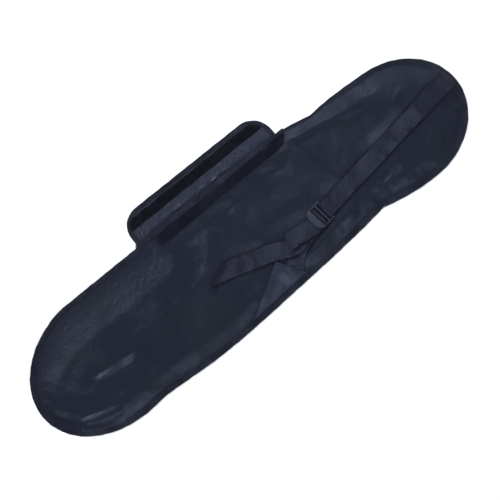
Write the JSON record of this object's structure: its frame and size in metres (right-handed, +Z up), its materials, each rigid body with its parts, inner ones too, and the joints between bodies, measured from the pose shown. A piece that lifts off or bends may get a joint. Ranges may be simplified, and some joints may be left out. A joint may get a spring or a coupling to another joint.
{
  "type": "skate bag",
  "caption": "Long flat fabric board bag with a side hook-and-loop flap, bound edge, and a webbing shoulder strap with a ladder-lock buckle.",
  "frame": {"origin": "middle of the back panel's underside, on the surface the bag lies on", "axes": "+X along the bag to its narrow head end, +Y to the side with the flap, +Z up through the front panel"},
  "size_m": [1.0674, 0.3389, 0.0226],
  "materials": {
    "shell_cloth": "coated navy-black polyester, soft sheen",
    "binding_tape": "ribbed woven tape",
    "hook_tape": "matte hook tape",
    "loop_tape": "brushed loop tape",
    "webbing": "woven polypropylene webbing",
    "strap_cloth": "smooth folded fabric strap",
    "buckle_plastic": "moulded, slightly textured",
    "thread": "polyester sewing thread"
  },
  "bodies": {
    "bag": {"back_panel": "shell_cloth", "front_panel": "shell_cloth", "front_border_foot": "shell_cloth", "front_border_body": "shell_cloth", "perimeter_binding": "binding_tape", "perimeter_stitching": "thread", "mouth_binding": "binding_tape", "mouth_stitching": "thread", "mouth_hook_tape": "hook_tape", "anchor_tab": "shell_cloth", "tab_stitching": "thread"},
    "flap": {"flap_cloth": "shell_cloth", "flap_binding": "binding_tape", "flap_stitching": "thread", "flap_loop_tape": "loop_tape"},
    "strap": {"wide_strap_section": "strap_cloth", "shoulder_webbing": "webbing", "overlap_stitching": "thread", "loop_stitching": "thread"},
    "buckle": {"ladder_lock_buckle": "buckle_plastic", "webbing_wrap": "webbing"},
    "leg": {"load_leg": "webbing"},
    "tail": {"strap_tail": "webbing"}
  },
  "joints": [
    {"name": "flap_fold", "type": "hinge", "parent": "bag", "child": "flap", "pos_m": [0.0075, 0.142, 0.00925], "axis": [1, 0, 0], "range_deg": [0, 180]},
    {"name": "strap_lift", "type": "hinge", "parent": "bag", "child": "strap", "pos_m": [0.517, 0.012, 0.0064], "axis": [-0.1461, 0.9893, 0], "range_deg": [0, 18]},
    {"name": "buckle_tilt", "type": "hinge", "parent": "strap", "child": "buckle", "pos_m": [0.16581, -0.03986, 0.0182], "axis": [-0.1461, 0.9893, 0], "range_deg": [0, 25]},
    {"name": "leg_lift", "type": "hinge", "parent": "bag", "child": "leg", "pos_m": [0.048, -0.0865, 0.0143], "axis": [0.3932, -0.9195, 0], "range_deg": [0, 40]},
    {"name": "tail_droop", "type": "hinge", "parent": "strap", "child": "tail", "pos_m": [0.13613, -0.04424, 0.0173], "axis": [0.1392, 0.9903, 0], "range_deg": [-42, 0]}
  ],
  "couplings": [
    {"joint": "leg_lift", "follows": "strap_lift", "ratio": 2.2},
    {"joint": "tail_droop", "follows": "strap_lift", "ratio": -2.3}
  ]
}
